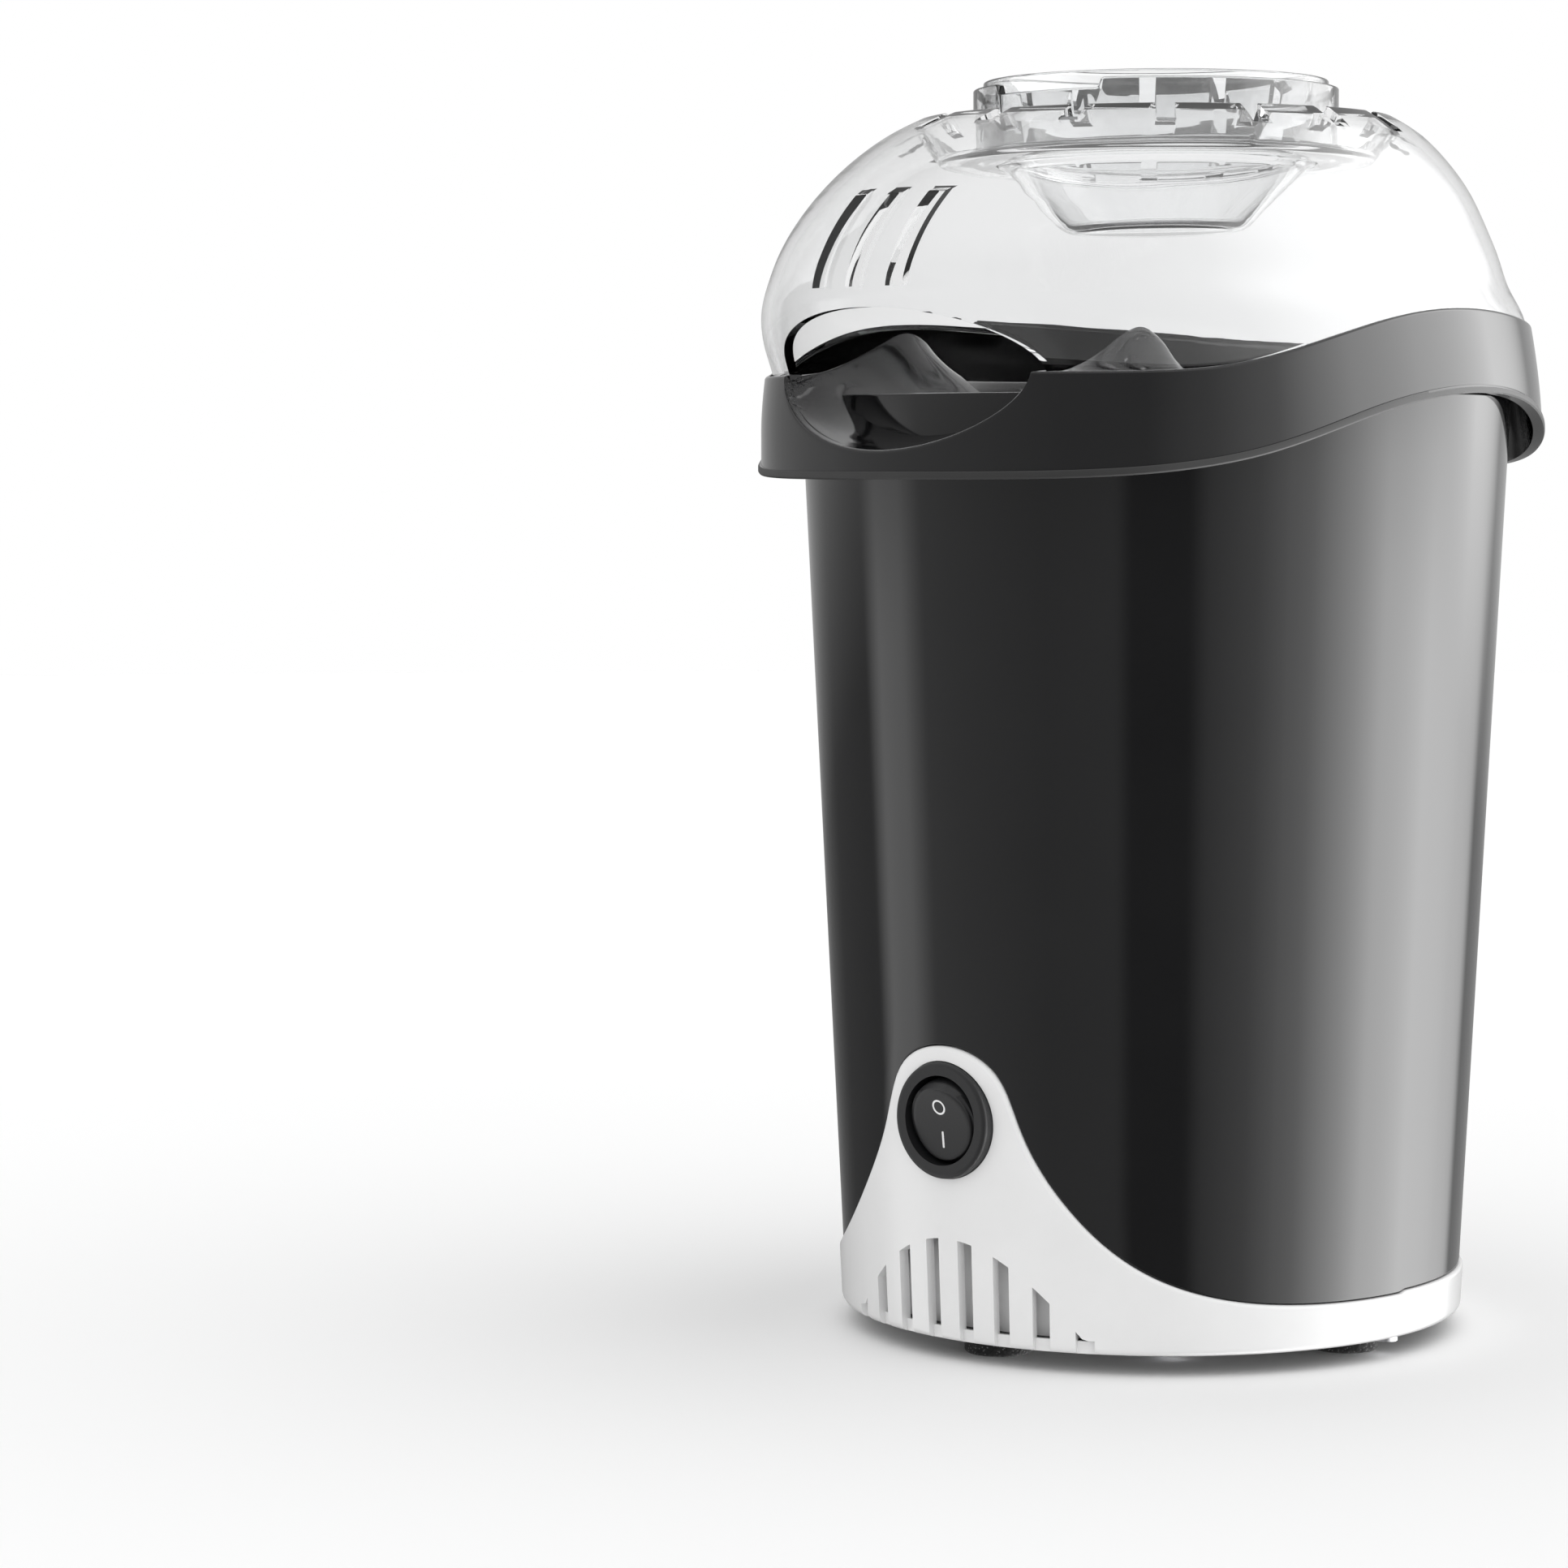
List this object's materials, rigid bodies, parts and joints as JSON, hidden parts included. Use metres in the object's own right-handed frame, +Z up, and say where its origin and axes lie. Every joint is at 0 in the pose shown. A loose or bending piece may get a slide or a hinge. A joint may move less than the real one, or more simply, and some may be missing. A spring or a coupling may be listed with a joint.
{
  "type": "popcorn maker",
  "caption": "Hot-air popcorn maker with a round tapered body, an oval collar with a front chute, a clear lift-off dome, a measuring cup and a round rocker switch.",
  "frame": {"origin": "on the floor, on the axis of the round body, within 2 mm of the middle of the footprint", "axes": "+Z up along the body's axis; -Y is the front, with the chute and the switch; +Y is the back, with the cord inlet"},
  "size_m": [0.1678, 0.1995, 0.285],
  "materials": {
    "white_plastic": "gloss",
    "inner_plastic": "fine texture",
    "foot_rubber": "speckled foam",
    "black_gloss": "high gloss",
    "switch_plastic": "satin",
    "steel": "bright",
    "brass": "plain",
    "zinc_steel": "zinc plated",
    "ferrite": "sintered",
    "heat_plastic": "glass filled",
    "mica": "flaky",
    "resistance_wire": "oxidised",
    "chamber_aluminium": "drawn",
    "ceramic": "unglazed",
    "board": "phenolic",
    "diode_epoxy": "moulded",
    "lead_sleeve": "silicone",
    "clear_plastic": "clear gloss",
    "laminations": "stamped"
  },
  "bodies": {
    "housing": {"base_shell": "white_plastic", "bottom_plate": "inner_plastic", "inlet_guard": "white_plastic", "rubber_feet": "foot_rubber", "body_shell": "black_gloss", "collar": "black_gloss", "switch_body": "switch_plastic", "rocker_pin": "steel", "switch_terminals": "brass", "motor_can": "zinc_steel", "motor_end_cap": "inner_plastic", "motor_magnets": "ferrite", "fan_duct": "heat_plastic", "heater_frame": "mica", "heating_coil": "resistance_wire", "popping_chamber": "chamber_aluminium", "heat_shield": "zinc_steel", "thermostat": "ceramic", "thermal_fuse": "ceramic", "rectifier_board": "board", "rectifier_diodes": "diode_epoxy", "cord_bush": "foot_rubber", "cord_clamp": "inner_plastic", "base_screws": "steel", "duct_screws": "steel", "motor_screws": "steel", "chamber_screws": "steel", "collar_screws": "steel", "clamp_screws": "steel", "motor_lead": "lead_sleeve"},
    "dome": {"dome": "clear_plastic"},
    "cup": {"measuring_cup": "clear_plastic"},
    "rocker": {"switch_rocker": "switch_plastic"},
    "fan": {"fan_impeller": "heat_plastic", "motor_shaft": "steel", "motor_rotor": "laminations"}
  },
  "joints": [
    {"name": "dome_lift", "type": "slide", "parent": "housing", "child": "dome", "axis": [0, 0, 1], "range_m": [0, 0.08]},
    {"name": "cup_lift", "type": "slide", "parent": "dome", "child": "cup", "axis": [0, 0, 1], "range_m": [0, 0.06]},
    {"name": "switch_rock", "type": "hinge", "parent": "housing", "child": "rocker", "pos_m": [0, -0.07109, 0.0542], "axis": [-1, 0, 0], "range_deg": [0, 24]},
    {"name": "fan_spin", "type": "hinge", "parent": "housing", "child": "fan", "pos_m": [0, 0, 0.0785], "axis": [0, 0, 1], "continuous": true}
  ]
}
